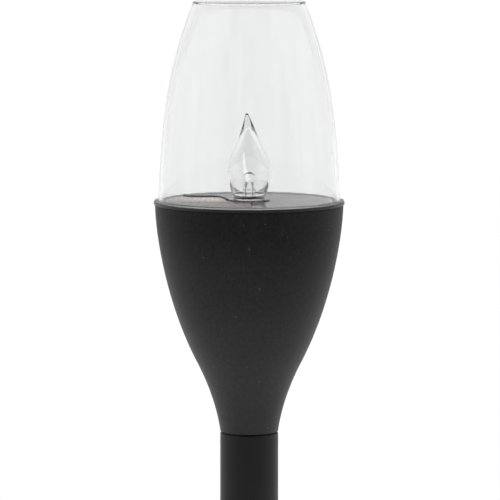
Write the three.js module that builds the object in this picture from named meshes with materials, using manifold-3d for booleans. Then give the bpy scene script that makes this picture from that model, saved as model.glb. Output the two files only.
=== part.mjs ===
// Solar garden torch: a ground spike, two pole sections, a goblet cup and a push-fit light module
// (clear shade, solar deck, flame lens, lamp, battery). Millimetres, +Z up.
// The origin is on the pole axis at ground level, on the underside of the spike's step flange.
import * as THREE from 'three';
import { mergeVertices } from 'three/addons/utils/BufferGeometryUtils.js';
import Module from 'manifold-3d';

const wasm = await Module();
wasm.setup();

// ---- Driving dimensions -------------------------------------------------------------------

const GAP = 0.3;              // clearance between neighbouring pieces
const FINE = 40;              // sides of the shade
const ROUND = 30;             // sides of other large round pieces
const MEDIUM = 24;            // sides of the tubes, their spigots and the flame lens
const SMALL = 12;             // sides of small round pieces

const TUBE_R = 12.7;          // one-inch pole tube
const TUBE_WALL = 1.2;
const POLE_LENGTH = 228.6;    // each pole section
const SPIGOT_R = TUBE_R - TUBE_WALL - GAP;
const SPIGOT_WALL = 2.2;

const FLANGE_R = 30;          // step flange of the ground spike
const FLANGE_T = 4;
const SPIKE_DEPTH = 165;
const SPIKE_HALF_WIDTH = 17;
const FIN_T = 3;
const SPIKE_SPIGOT = 45;      // how far the spike reaches into the lower pole

const COLLAR_T = 3;           // collar of the coupler between the poles
const COUPLER_SPIGOT = 30;
const NECK_SPIGOT = 33;       // how far the cup reaches into the upper pole

const LOWER_POLE_Z = FLANGE_T + GAP;
const COUPLER_Z = LOWER_POLE_Z + POLE_LENGTH + GAP;
const UPPER_POLE_Z = COUPLER_Z + COLLAR_T + GAP;
const CUP_Z = UPPER_POLE_Z + POLE_LENGTH + GAP;   // lower edge of the cup; head heights count from it

const CUP_H = 99.5;
const CUP_R = 41;
const CUP_WALL = 2.2;
const NECK_R = 12.65;

const RIM_R = 41.5;           // bezel rim of the deck housing
const RIM_TOP = 100.6;        // seat of the shade's flange
const RIM_BOTTOM = CUP_H + GAP;
const SKIRT_R = 35.7;
const SKIRT_WALL = 1.8;
const SKIRT_BOTTOM = 84;
const SHOULDER_R = 38.3;      // upper part of the housing, which centres it in the cup
const SHOULDER_BOTTOM = 96;
const DECK_R = 36.9;          // round recess that holds the solar panel
const DECK_FLOOR = 98.2;
const DECK_FLOOR_T = 1.6;
const DECK_EDGE_R = 37.4;     // raised edge around the panel

const SHADE_TOP = 188.3;
const SHADE_WALL = 1.5;
const SHADE_FOOT_R = 39.75;
const SHADE_CORNER = 2.2;
const SHADE_FLANGE_R = 41.3;
const SHADE_FLANGE_TOP = 102;

const PANEL_R = DECK_R - GAP;
const BOARD_TOP = 99.5;       // backing board of the solar panel
const CELL_BOTTOM = BOARD_TOP + GAP;
const CELL_TOP = 100.1;
const PANEL_TOP = 101.2;
const CELL_PITCH = 16.5;      // width of one cell strip with its gap
const CELL_GAP = 0.8;
const PANEL_HOLE_R = 6.6;     // hole for the flame lens
const CELL_HOLE_R = 9.6;
const CELL_R = 34.6;

const LENS_WALL = 1;
const LENS_STUB_R = 6;
const LENS_STUB_BOTTOM = 95.2;
const LENS_R = 9.25;          // at its widest
const LENS_WIDE = 113.6;      // height of the widest place
const LENS_TIP = 139.2;
const LENS_LEAN = 0.9;        // how far the tip leans towards -X

const LED_R = 2.5;            // 5 mm lamp
const LED_FLANGE_R = 2.9;
const LED_BOTTOM = 104.9;
const LED_TOP = 113.6;
const LEAD = 0.5;             // square lead wire
const LEAD_X = 1.27;
const LEAD_BOTTOM = 90.6;

const SEAL_R = 37.05;         // middle of the seal ring's section
const SEAL_SECTION_R = 1.05;
const SEAL_Z = SHOULDER_BOTTOM - GAP - SEAL_SECTION_R;
const SEAL_BEAD_R = 37.4;     // bead that keeps the seal ring on the skirt

const BASE_TOP = 82.6;        // lower housing of the module
const BASE_BOTTOM = 73.8;
const BASE_WALL = 1.8;
const BOSS_PLACES = [90, 228, 312].map((deg) => polar(29.5, deg));
const BOSS_R = 2.8;
const SCREW_R = 1.2;
const SCREW_HEAD_R = 2.4;

const BAY_Y = -6;             // battery bay, its length along X
const BAY_HALF_X = 27.5;
const BAY_HALF_Y = 7.9;
const BAY_WALL = 1.3;
const BAY_BOTTOM = 71.8;
const BAY_TOP = 88.4;
const LEAD_HOLE_X = 24;       // where the battery leads pass the bay's roof
const LEAD_ROW_Y = BAY_Y + 4.5;
const BATTERY_R = 7.1;        // AA cell
const BATTERY_LENGTH = 50.5;
const BATTERY_END_X = 26.6;   // end of its button
const BUTTON_R = 2.75;
const BUTTON_LENGTH = 1.3;
const BATTERY_Z = 80.9;
const CONTACT_HALF = 5;       // half width of the square contact plates
const CONTACT_X = 27.05;

const DOOR_T = 1.5;
const HINGE_Y = 5.6;
const HINGE_Z = 71.3;
const KNUCKLE_R = 2;
const HINGE_PIN_R = 0.8;

const BOARD_Z = 91.2;         // control board
const BOARD_T = 1.6;
const BOARD_TOP_FACE = BOARD_Z + BOARD_T;
const PART_SEAT = BOARD_TOP_FACE + GAP;
const BOARD_SCREW_PLACES = [[-18, 12.5], [18, 12.5]];
const PANEL_WIRE_HOLE = [9, 14];
const LEAD_WIRE_R = 0.5;

const SWITCH_Y = 12.7;
const SWITCH_SLOT_HALF_X = 4;
const SWITCH_SLOT_HALF_Y = 1.2;
const SWITCH_REST_X = -1.25;

// ---- Shape helpers ------------------------------------------------------------------------

// Keeps positions only, joins shared vertices and drops triangles with no area.
function closed(geometry) {
  const bare = geometry.clone();
  bare.deleteAttribute('normal');
  bare.deleteAttribute('uv');
  const merged = mergeVertices(bare, 1e-4);
  const kept = [];
  for (let i = 0; i < merged.index.count; i += 3) {
    const [a, b, c] = [0, 1, 2].map((k) => merged.index.getX(i + k));
    if (a !== b && b !== c && c !== a) kept.push(a, b, c);
  }
  merged.setIndex(kept);
  return merged;
}

function toManifold(geometry) {
  const mesh = closed(geometry);
  return new wasm.Manifold(new wasm.Mesh({
    numProp: 3,
    vertProperties: new Float32Array(mesh.attributes.position.array),
    triVerts: new Uint32Array(mesh.index.array),
  }));
}

function toGeometry(manifold) {
  const mesh = manifold.getMesh();
  const geometry = new THREE.BufferGeometry();
  geometry.setAttribute('position', new THREE.BufferAttribute(new Float32Array(mesh.vertProperties), 3));
  geometry.setIndex([...mesh.triVerts]);
  return geometry;
}

function join(first, ...others) {
  return toGeometry(others.reduce((sum, part) => sum.add(toManifold(part)), toManifold(first)));
}

function cut(first, ...tools) {
  return toGeometry(tools.reduce((rest, tool) => rest.subtract(toManifold(tool)), toManifold(first)));
}

// Turned piece about Z from a closed profile of [radius, height], or one that starts and ends on the axis.
function turned(profile, sides = ROUND) {
  const points = profile.map(([r, z]) => new THREE.Vector2(r, z));
  const onAxis = points[0].x === 0 && points.at(-1).x === 0;
  if (!onAxis) points.push(points[0].clone());
  if (THREE.ShapeUtils.area(points) < 0) points.reverse();
  return closed(new THREE.LatheGeometry(points, sides).rotateX(Math.PI / 2));
}

function box(x0, x1, y0, y1, z0, z1) {
  const geometry = new THREE.BoxGeometry(x1 - x0, y1 - y0, z1 - z0);
  return geometry.translate((x0 + x1) / 2, (y0 + y1) / 2, (z0 + z1) / 2);
}

function rodZ(r, z0, z1, x = 0, y = 0, sides = SMALL) {
  const geometry = new THREE.CylinderGeometry(r, r, z1 - z0, sides).rotateX(Math.PI / 2);
  return geometry.translate(x, y, (z0 + z1) / 2);
}

function rodX(r, x0, x1, y, z, sides = SMALL) {
  const geometry = new THREE.CylinderGeometry(r, r, x1 - x0, sides).rotateZ(Math.PI / 2);
  return geometry.translate((x0 + x1) / 2, y, z);
}

// Flat plate between two heights from an outline in plan.
function plate(shape, z0, z1, curveSegments = 4) {
  const options = { depth: z1 - z0, bevelEnabled: false, curveSegments };
  return new THREE.ExtrudeGeometry(shape, options).translate(0, 0, z0);
}

function roundedRectangle(x0, x1, y0, y1, r) {
  const shape = new THREE.Shape();
  shape.moveTo(x0 + r, y0);
  shape.lineTo(x1 - r, y0);
  shape.absarc(x1 - r, y0 + r, r, -Math.PI / 2, 0);
  shape.lineTo(x1, y1 - r);
  shape.absarc(x1 - r, y1 - r, r, 0, Math.PI / 2);
  shape.lineTo(x0 + r, y1);
  shape.absarc(x0 + r, y1 - r, r, Math.PI / 2, Math.PI);
  shape.lineTo(x0, y0 + r);
  shape.absarc(x0 + r, y0 + r, r, Math.PI, Math.PI * 1.5);
  return shape;
}

// Round wire along a smooth curve through the given points.
function wire(points, r, steps = 8) {
  const knots = points.map((p) => new THREE.Vector3(...p));
  const path = new THREE.CatmullRomCurve3(knots, false, 'centripetal');
  const section = new THREE.Shape().absarc(0, 0, r, 0, 2 * Math.PI);
  const options = { extrudePath: path, steps, curveSegments: 3, bevelEnabled: false };
  return closed(new THREE.ExtrudeGeometry(section, options));
}

function curvePoints(curve, count) {
  return curve.getPoints(count).map((p) => [p.x, p.y]);
}

// The same curve moved sideways by a distance, to the left of its direction of travel.
function offsetPoints(curve, count, distance) {
  return Array.from({ length: count + 1 }, (_, i) => {
    const point = curve.getPoint(i / count);
    const along = curve.getTangent(i / count);
    return [point.x - along.y * distance, point.y + along.x * distance];
  });
}

function bezier(...points) {
  return new THREE.CubicBezierCurve(...points.map(([r, z]) => new THREE.Vector2(r, z)));
}

function polar(radius, deg) {
  const angle = THREE.MathUtils.degToRad(deg);
  return [radius * Math.cos(angle), radius * Math.sin(angle)];
}

function add(group, name, geometry, material) {
  const mesh = new THREE.Mesh(geometry, material);
  mesh.name = name;
  group.add(mesh);
}

function finish(color, roughness, metalness = 0, opacity = 1) {
  const transparent = opacity < 1;
  return new THREE.MeshStandardMaterial({ color, roughness, metalness, opacity, transparent });
}

const blackPlastic = finish(0x242424, 0.6);
const poleCoat = finish(0x2b2b2c, 0.5);
const clearPlastic = finish(0xf2f4f5, 0.08, 0, 0.3);
const rubber = finish(0x1b1b1b, 0.85);
const steel = finish(0xb4b6b8, 0.3, 1);
const tinnedLead = finish(0xc9b79a, 0.35, 1);
const silicon = finish(0x3a2f33, 0.3);
const circuitBoard = finish(0x2f5b38, 0.55);
const epoxyBlack = finish(0x151515, 0.5);
const redWire = finish(0xa3201c, 0.5);
const blackWire = finish(0x161616, 0.5);
const batteryWrap = finish(0x3e6f8f, 0.35);
const dippedBody = finish(0xc98e2f, 0.5);
const whitePlastic = finish(0xe8e8e4, 0.5);

const torch = new THREE.Group();
const head = new THREE.Group();
head.position.z = CUP_Z;
torch.add(head);

// ---- Spike and poles ----------------------------------------------------------------------

function spikeFin() {
  const shoulder = 22;
  const outline = new THREE.Shape();
  outline.moveTo(-SPIKE_HALF_WIDTH, 0.5);
  outline.lineTo(-SPIKE_HALF_WIDTH, -shoulder);
  outline.lineTo(-FIN_T / 4, -SPIKE_DEPTH);
  outline.lineTo(FIN_T / 4, -SPIKE_DEPTH);
  outline.lineTo(SPIKE_HALF_WIDTH, -shoulder);
  outline.lineTo(SPIKE_HALF_WIDTH, 0.5);
  const fin = new THREE.ExtrudeGeometry(outline, { depth: FIN_T, bevelEnabled: false });
  return fin.translate(0, 0, -FIN_T / 2).rotateX(Math.PI / 2);
}

function groundSpike() {
  const inner = SPIGOT_R - SPIGOT_WALL;
  const top = FLANGE_T + SPIKE_SPIGOT;
  const body = turned([
    [0, 0], [FLANGE_R - 0.8, 0], [FLANGE_R, 0.8], [FLANGE_R, FLANGE_T - 0.8], [FLANGE_R - 0.8, FLANGE_T],
    [SPIGOT_R, FLANGE_T], [SPIGOT_R, top - 1.5], [SPIGOT_R - 1, top], [inner, top], [inner, FLANGE_T],
    [0, FLANGE_T],
  ], MEDIUM);
  return join(body, spikeFin(), spikeFin().rotateZ(Math.PI / 2));
}

function poleTube(z) {
  const inner = TUBE_R - TUBE_WALL;
  const edge = 0.3;
  return turned([
    [TUBE_R - edge, z], [TUBE_R, z + edge], [TUBE_R, z + POLE_LENGTH - edge],
    [TUBE_R - edge, z + POLE_LENGTH], [inner, z + POLE_LENGTH], [inner, z],
  ], MEDIUM);
}

function poleCoupler() {
  const inner = SPIGOT_R - SPIGOT_WALL;
  const low = COUPLER_Z - COUPLER_SPIGOT;
  const high = COUPLER_Z + COLLAR_T + COUPLER_SPIGOT;
  return turned([
    [inner, low], [SPIGOT_R - 1, low], [SPIGOT_R, low + 1.5], [SPIGOT_R, COUPLER_Z], [TUBE_R, COUPLER_Z],
    [TUBE_R, COUPLER_Z + COLLAR_T], [SPIGOT_R, COUPLER_Z + COLLAR_T], [SPIGOT_R, high - 1.5],
    [SPIGOT_R - 1, high], [inner, high],
  ], MEDIUM);
}

add(torch, 'ground_spike', groundSpike(), blackPlastic);
add(torch, 'lower_pole', poleTube(LOWER_POLE_Z), poleCoat);
add(torch, 'pole_coupler', poleCoupler(), blackPlastic);
add(torch, 'upper_pole', poleTube(UPPER_POLE_Z), poleCoat);

// ---- Cup ----------------------------------------------------------------------------------

// Outer side of the cup: a flared stem that turns into a full bowl.
const stemCurve = bezier([NECK_R, 0], [12.75, 1], [14.25, 14], [22.6, 30.1]);
const bowlCurve = bezier([22.6, 30.1], [37.25, 58.3], [40.9, 89.3], [CUP_R, CUP_H]);

function cup() {
  const inner = SPIGOT_R - SPIGOT_WALL;
  const outside = [...curvePoints(stemCurve, 5), ...curvePoints(bowlCurve, 7).slice(1, -1)];
  const stemInside = offsetPoints(stemCurve, 4, CUP_WALL).slice(1, -1);
  const inside = [...stemInside, ...offsetPoints(bowlCurve, 6, CUP_WALL)];
  inside[inside.length - 1][1] = CUP_H;
  return turned([
    [inner, -NECK_SPIGOT], [SPIGOT_R - 1, -NECK_SPIGOT], [SPIGOT_R, 1.5 - NECK_SPIGOT], [SPIGOT_R, 0],
    ...outside, [CUP_R, CUP_H - 0.4], [CUP_R - 0.4, CUP_H],
    ...inside.reverse(), [inner, 1],
  ]);
}

add(head, 'cup', cup(), blackPlastic);

// ---- Seal ring ----------------------------------------------------------------------------

function sealRing() {
  const ring = new THREE.TorusGeometry(SEAL_R, SEAL_SECTION_R, 6, ROUND);
  return closed(ring.translate(0, 0, SEAL_Z));
}

add(head, 'module_seal', sealRing(), rubber);

// ---- Light module: housings ---------------------------------------------------------------

function deckHousing() {
  const skirtIn = SKIRT_R - SKIRT_WALL;
  const floorLow = DECK_FLOOR - DECK_FLOOR_T;
  const hole = LENS_STUB_R + GAP;
  const beadHigh = SEAL_Z - SEAL_SECTION_R - GAP;
  const beadLow = beadHigh - 1;
  const edge = 0.3;
  const shell = turned([
    [hole, floorLow], [skirtIn, floorLow], [skirtIn, SKIRT_BOTTOM], [SKIRT_R, SKIRT_BOTTOM],
    [SKIRT_R, beadLow - 0.8], [SEAL_BEAD_R, beadLow], [SEAL_BEAD_R, beadHigh], [SKIRT_R, beadHigh],
    [SKIRT_R, SHOULDER_BOTTOM], [SHOULDER_R, SHOULDER_BOTTOM], [SHOULDER_R, RIM_BOTTOM],
    [RIM_R - edge, RIM_BOTTOM], [RIM_R, RIM_BOTTOM + edge], [RIM_R, RIM_TOP - edge],
    [RIM_R - edge, RIM_TOP], [DECK_EDGE_R, RIM_TOP], [DECK_EDGE_R, PANEL_TOP], [DECK_R, PANEL_TOP],
    [DECK_R, DECK_FLOOR], [hole, DECK_FLOOR],
  ]);
  const bossBottom = BASE_TOP - 2.3;
  const bosses = BOSS_PLACES.map(([x, y]) => rodZ(BOSS_R, bossBottom, floorLow + 0.5, x, y));
  const pilots = BOSS_PLACES.map(([x, y]) => rodZ(SCREW_R + GAP, bossBottom - 1, floorLow - 2, x, y));
  const posts = BOARD_SCREW_PLACES.map(([x, y]) => rodZ(2, PART_SEAT, floorLow + 0.5, x, y));
  const postPilots = BOARD_SCREW_PLACES.map(([x, y]) => rodZ(1.1, BOARD_Z, floorLow - 0.6, x, y));
  const wireHole = rodZ(2.4, floorLow - 1, DECK_FLOOR + 1, ...PANEL_WIRE_HOLE);
  return cut(join(shell, ...bosses, ...posts), ...pilots, ...postPilots, wireHole);
}

// Plan of the battery bay, grown or shrunk on every side.
function bayOutline(grow, corner) {
  const [x, y] = [BAY_HALF_X + grow, BAY_HALF_Y + grow];
  return roundedRectangle(-x, x, BAY_Y - y, BAY_Y + y, corner);
}

// One of the two ears that hold the door's hinge pin.
function hingeEar(x0, x1) {
  const knuckle = rodX(KNUCKLE_R, x0, x1, HINGE_Y, HINGE_Z);
  return join(knuckle, box(x0, x1, HINGE_Y - KNUCKLE_R, HINGE_Y + KNUCKLE_R, HINGE_Z, BASE_BOTTOM + 0.7));
}

function moduleBase() {
  const low = BASE_BOTTOM;
  const shell = turned([
    [0, low], [32, low], [33.4, low + 0.8], [SKIRT_R, BASE_TOP - 1.6], [SKIRT_R, BASE_TOP],
    [SKIRT_R - BASE_WALL, BASE_TOP], [SKIRT_R - BASE_WALL, BASE_TOP - 1.4],
    [32, low + 2.6], [31.2, low + BASE_WALL], [0, low + BASE_WALL],
  ]);
  const bayOutside = plate(bayOutline(BAY_WALL, 4), BAY_BOTTOM, BAY_TOP + 1.2);
  const bayInside = plate(bayOutline(0, 2.7), BAY_BOTTOM - 1, BAY_TOP);
  const ears = [hingeEar(-13, -9.5), hingeEar(9.5, 13)];
  const pinHole = rodX(HINGE_PIN_R + GAP, -14, 14, HINGE_Y, HINGE_Z);
  const posts = BOSS_PLACES.map(([x, y]) => rodZ(BOSS_R, low + 0.5, BASE_TOP - 2.6, x, y));
  const shanks = BOSS_PLACES.map(([x, y]) => rodZ(SCREW_R + GAP, low - 1, BASE_TOP, x, y));
  const heads = BOSS_PLACES.map(([x, y]) => rodZ(SCREW_HEAD_R + GAP, low - 1, low + 2.2, x, y));
  const guard = plate(roundedRectangle(-8, 8, SWITCH_Y - 3.4, SWITCH_Y + 3.4, 1.5), low - 0.8, low + 0.5);
  const leadHole = rodZ(1.4, BAY_TOP - 1, BAY_TOP + 3, LEAD_HOLE_X, LEAD_ROW_Y);
  const leadHoles = [leadHole, leadHole.clone().translate(-2 * LEAD_HOLE_X, 0, 0)];
  const solid = join(shell, bayOutside, ...ears, ...posts, guard);
  return cut(solid, bayInside, pinHole, ...shanks, ...heads, switchSlot(low - 2, low + 3), ...leadHoles);
}

function switchSlot(z0, z1) {
  const [x, y] = [SWITCH_SLOT_HALF_X, SWITCH_SLOT_HALF_Y];
  return box(-x, x, SWITCH_Y - y, SWITCH_Y + y, z0, z1);
}

function baseGasket() {
  const [low, high] = [BASE_TOP + GAP, SKIRT_BOTTOM - GAP];
  return turned([[SKIRT_R - 1.6, low], [SKIRT_R - 0.2, low], [SKIRT_R - 0.2, high], [SKIRT_R - 1.6, high]]);
}

// Pan-head screw pointing up, its head underneath.
function screw(x, y, headBottom, headT, length, shankR, headR) {
  const top = headBottom + headT + length;
  return turned([
    [0, headBottom], [headR * 0.7, headBottom], [headR, headBottom + headT * 0.5],
    [headR, headBottom + headT], [shankR, headBottom + headT], [shankR, top - 1], [0, top],
  ], SMALL).translate(x, y, 0);
}

add(head, 'deck_housing', deckHousing(), blackPlastic);
add(head, 'module_base', moduleBase(), blackPlastic);
add(head, 'base_gasket', baseGasket(), rubber);
BOSS_PLACES.forEach(([x, y], i) => {
  const piece = screw(x, y, BASE_BOTTOM + GAP, 1.6, 12, SCREW_R, SCREW_HEAD_R);
  add(head, `housing_screw_${i + 1}`, piece, steel);
});

// ---- Light module: solar panel ------------------------------------------------------------

function panelDisc(z0, z1) {
  return turned([[PANEL_HOLE_R, z0], [PANEL_R, z0], [PANEL_R, z1], [PANEL_HOLE_R, z1]]);
}

function panelBoard() {
  const wireHole = rodZ(1.8, DECK_FLOOR, BOARD_TOP + 1, ...PANEL_WIRE_HOLE);
  return cut(panelDisc(DECK_FLOOR + GAP, BOARD_TOP), wireHole);
}

// One strip of solar cell: a slice of the round panel, clear of the middle hole.
function cellStrip(row) {
  const middle = (row - 1.5) * CELL_PITCH;
  const half = (CELL_PITCH - CELL_GAP) / 2;
  const disc = turned([
    [CELL_HOLE_R, CELL_BOTTOM], [CELL_R, CELL_BOTTOM], [CELL_R, CELL_TOP], [CELL_HOLE_R, CELL_TOP],
  ]);
  const slice = box(-40, 40, middle - half, middle + half, CELL_BOTTOM - 1, CELL_TOP + 1);
  return toGeometry(toManifold(disc).intersect(toManifold(slice)));
}

add(head, 'solar_board', panelBoard(), circuitBoard);
for (let row = 0; row < 4; row += 1) {
  add(head, `solar_cell_${row + 1}`, cellStrip(row), silicon);
}
add(head, 'solar_cover', panelDisc(CELL_TOP + GAP, PANEL_TOP), clearPlastic);

// ---- Light module: shade ------------------------------------------------------------------

const shadeCurve = bezier([SHADE_FOOT_R, RIM_TOP + GAP], [38.3, 138.8], [35.2, 160.3], [24.9, 186.1]);

function shade() {
  const foot = RIM_TOP + GAP;
  const outside = curvePoints(shadeCurve, 8);
  const inside = offsetPoints(shadeCurve, 6, SHADE_WALL);
  inside[0][1] = foot;
  const under = SHADE_TOP - SHADE_WALL;
  inside[inside.length - 1][1] = under - 1.2;
  return turned([
    [SHADE_FLANGE_R, foot], [SHADE_FLANGE_R, SHADE_FLANGE_TOP - 0.3], [SHADE_FLANGE_R - 0.3, SHADE_FLANGE_TOP],
    [SHADE_FOOT_R, SHADE_FLANGE_TOP], ...outside.slice(1), [24.3, 187.6], [24.6 - SHADE_CORNER, SHADE_TOP],
    [0, SHADE_TOP], [0, under], [22.4, under], ...inside.reverse(),
  ], FINE);
}

add(head, 'shade', shade(), clearPlastic);

// ---- Light module: flame lens and lamp ----------------------------------------------------

const lensBulge = bezier([7.3, 103.9], [8.2, 106.5], [LENS_R, 110], [LENS_R, LENS_WIDE]);
const lensTaper = bezier([LENS_R, LENS_WIDE], [LENS_R, 120.8], [4.6, 125.8], [0.7, LENS_TIP - 0.5]);

// Hollow flame with a flange on the deck and a stub through it; its tip leans a little.
function flameLens() {
  const inside = [
    [0, LENS_TIP - 3], ...offsetPoints(lensTaper, 5, LENS_WALL).slice(1, -1).reverse(),
    ...offsetPoints(lensBulge, 2, LENS_WALL).reverse(), [LENS_STUB_R - LENS_WALL + 0.2, 103.4],
    [LENS_STUB_R - LENS_WALL, LENS_STUB_BOTTOM],
  ];
  const flangeLow = PANEL_TOP + GAP;
  const foot = [
    [LENS_STUB_R, LENS_STUB_BOTTOM], [LENS_STUB_R, flangeLow], [8.9, flangeLow], [8.9, flangeLow + 0.7],
    [8.5, flangeLow + 1.1], [6.6, flangeLow + 1.2], [6.5, 103.2],
  ];
  const outside = [...curvePoints(lensBulge, 3), ...curvePoints(lensTaper, 6).slice(1), [0, LENS_TIP]];
  const lens = turned([...inside, ...foot, ...outside], MEDIUM);
  const place = lens.attributes.position;
  for (let i = 0; i < place.count; i += 1) {
    const rise = Math.max(0, (place.getZ(i) - LENS_WIDE) / (LENS_TIP - LENS_WIDE));
    place.setX(i, place.getX(i) - LENS_LEAN * rise * rise);
  }
  return lens;
}

function lensRing() {
  const [low, high] = [LENS_STUB_BOTTOM + 0.2, DECK_FLOOR - DECK_FLOOR_T - GAP];
  const inner = LENS_STUB_R + GAP;
  return turned([[inner, low], [9.5, low], [9.5, high], [inner, high]], MEDIUM);
}

// Clear lamp body with the pocket that its two leads stand in.
function lampBody() {
  const dome = LED_TOP - LED_R;
  const arc = [0, 1, 2, 3, 4].map((i) => {
    const angle = (i / 4) * (Math.PI / 2);
    return [LED_R * Math.cos(angle), dome + LED_R * Math.sin(angle)];
  });
  arc[4][0] = 0;
  const body = turned([
    [0, LED_BOTTOM], [LED_FLANGE_R, LED_BOTTOM], [LED_FLANGE_R, LED_BOTTOM + 1],
    [LED_R, LED_BOTTOM + 1], ...arc,
  ], SMALL);
  return cut(body, box(-2.1, 1.85, -0.6, 0.6, LED_BOTTOM - 1, 109.7));
}

function leadWire(x) {
  return box(x - LEAD / 2, x + LEAD / 2, -LEAD / 2, LEAD / 2, LEAD_BOTTOM, 107.5);
}

add(head, 'flame_lens', flameLens(), clearPlastic);
add(head, 'lens_retaining_ring', lensRing(), steel);
add(head, 'lamp', lampBody(), clearPlastic);
const anvil = box(-1.75, -0.15, -LEAD / 2, LEAD / 2, 106.5, 109.3);
const post = box(0.55, 1.52, -LEAD / 2, LEAD / 2, 107.2, 109.3);
add(head, 'lamp_lead_cathode', join(leadWire(-LEAD_X), anvil), tinnedLead);
add(head, 'lamp_lead_anode', join(leadWire(LEAD_X), post), tinnedLead);

// ---- Light module: control board ----------------------------------------------------------

function controlBoard() {
  const board = plate(roundedRectangle(-21, 21, -7, 16, 2), BOARD_Z, BOARD_TOP_FACE);
  const leadHoles = [-LEAD_X, LEAD_X].map((x) => rodZ(0.66, BOARD_Z - 1, BOARD_TOP_FACE + 1, x, 0, 8));
  const screwHoles = BOARD_SCREW_PLACES.map(([x, y]) => rodZ(1.3, BOARD_Z - 1, BOARD_TOP_FACE + 1, x, y));
  return cut(board, ...leadHoles, ...screwHoles);
}

function driverChip() {
  const legRows = [-3.9, -2.63, -1.37, -0.1];
  const legs = legRows.map((y) => box(6.6, 13.4, y - 0.2, y + 0.2, PART_SEAT, PART_SEAT + 0.5));
  return join(box(7.6, 12.4, -4.5, 0.5, PART_SEAT + 0.2, PART_SEAT + 1.8), ...legs);
}

// Colour-ring choke lying along Y, its leads bent down to the board.
function choke() {
  const [x, y, z] = [-11, 0, PART_SEAT + 1.6];
  const body = turned([
    [0, -4], [1.1, -3.8], [1.4, -3.2], [1.4, -2.2], [1.1, -1.6], [1.1, 1.6], [1.4, 2.2], [1.4, 3.2],
    [1.1, 3.8], [0, 4],
  ], SMALL).rotateX(Math.PI / 2).translate(x, y, z);
  const lead = wire([
    [x, y - 5.6, PART_SEAT], [x, y - 5.4, z - 0.3], [x, y - 4.4, z],
    [x, y + 4.4, z], [x, y + 5.4, z - 0.3], [x, y + 5.6, PART_SEAT],
  ], 0.3, 14);
  return join(body, lead);
}

add(head, 'control_board', controlBoard(), circuitBoard);
add(head, 'driver_chip', driverChip(), epoxyBlack);
add(head, 'choke', choke(), dippedBody);
add(head, 'capacitor', rodX(1.5, 12.6, 14.2, 7, PART_SEAT + 1.6), dippedBody);
BOARD_SCREW_PLACES.forEach(([x, y], i) => {
  add(head, `board_screw_${i + 1}`, screw(x, y, BOARD_Z - GAP - 1.2, 1.2, 4.6, 0.8, 1.9), steel);
});

// ---- Light module: battery ----------------------------------------------------------------

function battery() {
  const body = BATTERY_LENGTH - BUTTON_LENGTH;
  const edge = 0.8;
  const cell = turned([
    [0, 0], [BATTERY_R - edge, 0], [BATTERY_R, edge], [BATTERY_R, body - edge], [BATTERY_R - edge, body],
    [BUTTON_R, body], [BUTTON_R, BATTERY_LENGTH], [0, BATTERY_LENGTH],
  ], MEDIUM);
  return cell.rotateY(Math.PI / 2).translate(BATTERY_END_X - BATTERY_LENGTH, BAY_Y, BATTERY_Z);
}

function contactPlate(x) {
  const [y, z] = [BAY_Y, BATTERY_Z];
  return box(x - 0.15, x + 0.15, y - CONTACT_HALF, y + CONTACT_HALF, z - CONTACT_HALF, z + CONTACT_HALF);
}

// Tapered coil spring on a plate, pressing on the flat end of the battery.
function batterySpring() {
  const [turns, perTurn] = [3, 8];
  const depth = 2.35;
  const points = Array.from({ length: turns * perTurn + 1 }, (_, i) => {
    const angle = (2 * Math.PI * i) / perTurn;
    const part = i / (turns * perTurn);
    const radius = 4.2 - 1.6 * part;
    const x = 0.1 - CONTACT_X + depth * part;
    return [x, BAY_Y + radius * Math.cos(angle), BATTERY_Z + radius * Math.sin(angle)];
  });
  return join(contactPlate(-CONTACT_X), wire(points, 0.32, turns * perTurn));
}

add(head, 'battery', battery(), batteryWrap);
add(head, 'battery_spring', batterySpring(), steel);
add(head, 'battery_contact', contactPlate(CONTACT_X), steel);

// ---- Light module: switch and leads -------------------------------------------------------

function switchBody() {
  const body = box(-5.5, 5.5, SWITCH_Y - 2.7, SWITCH_Y + 2.7, BASE_BOTTOM + BASE_WALL + GAP, 80.4);
  return cut(body, switchSlot(BASE_BOTTOM, 77.6));
}

function switchSlider() {
  const [y0, y1] = [SWITCH_Y - 0.8, SWITCH_Y + 0.8];
  const knob = box(-1.4, 1.4, y0, y1, BASE_BOTTOM - 1.6, 76.6);
  return join(knob, box(-2.2, 2.2, y0, y1, 76.3, 77.2)).translate(SWITCH_REST_X, 0, 0);
}

add(head, 'switch_body', switchBody(), epoxyBlack);

const [panelX, panelY] = PANEL_WIRE_HOLE;
[['red', -1, redWire], ['black', 1, blackWire]].forEach(([colour, side, insulation]) => {
  const panelLead = [
    [panelX + side * 0.85, panelY, 99.2], [panelX + side * 0.85, panelY, 96.6],
    [panelX + side * 1.5, panelY - 1.2, 94.6], [panelX + side * 2.6, panelY - 3.4, PART_SEAT + 0.2],
  ];
  const batteryLead = [
    [-side * 26.1, LEAD_ROW_Y, 86.2], [-side * LEAD_HOLE_X, LEAD_ROW_Y, 88.6],
    [-side * (LEAD_HOLE_X - 0.3), LEAD_ROW_Y, 93.2], [-side * 20.5, LEAD_ROW_Y, 95],
    [-side * 17, LEAD_ROW_Y, PART_SEAT + 0.4],
  ];
  const switchLead = [
    [side * 3, SWITCH_Y, 80.8], [side * 6, SWITCH_Y + 0.6, 84.5], [side * 7, SWITCH_Y, BOARD_Z - 0.8],
  ];
  add(head, `panel_lead_${colour}`, wire(panelLead, LEAD_WIRE_R), insulation);
  add(head, `battery_lead_${colour}`, wire(batteryLead, LEAD_WIRE_R, 11), insulation);
  add(head, `switch_lead_${colour}`, wire(switchLead, LEAD_WIRE_R), insulation);
});

// ---- Battery door and switch slider -------------------------------------------------------

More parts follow.
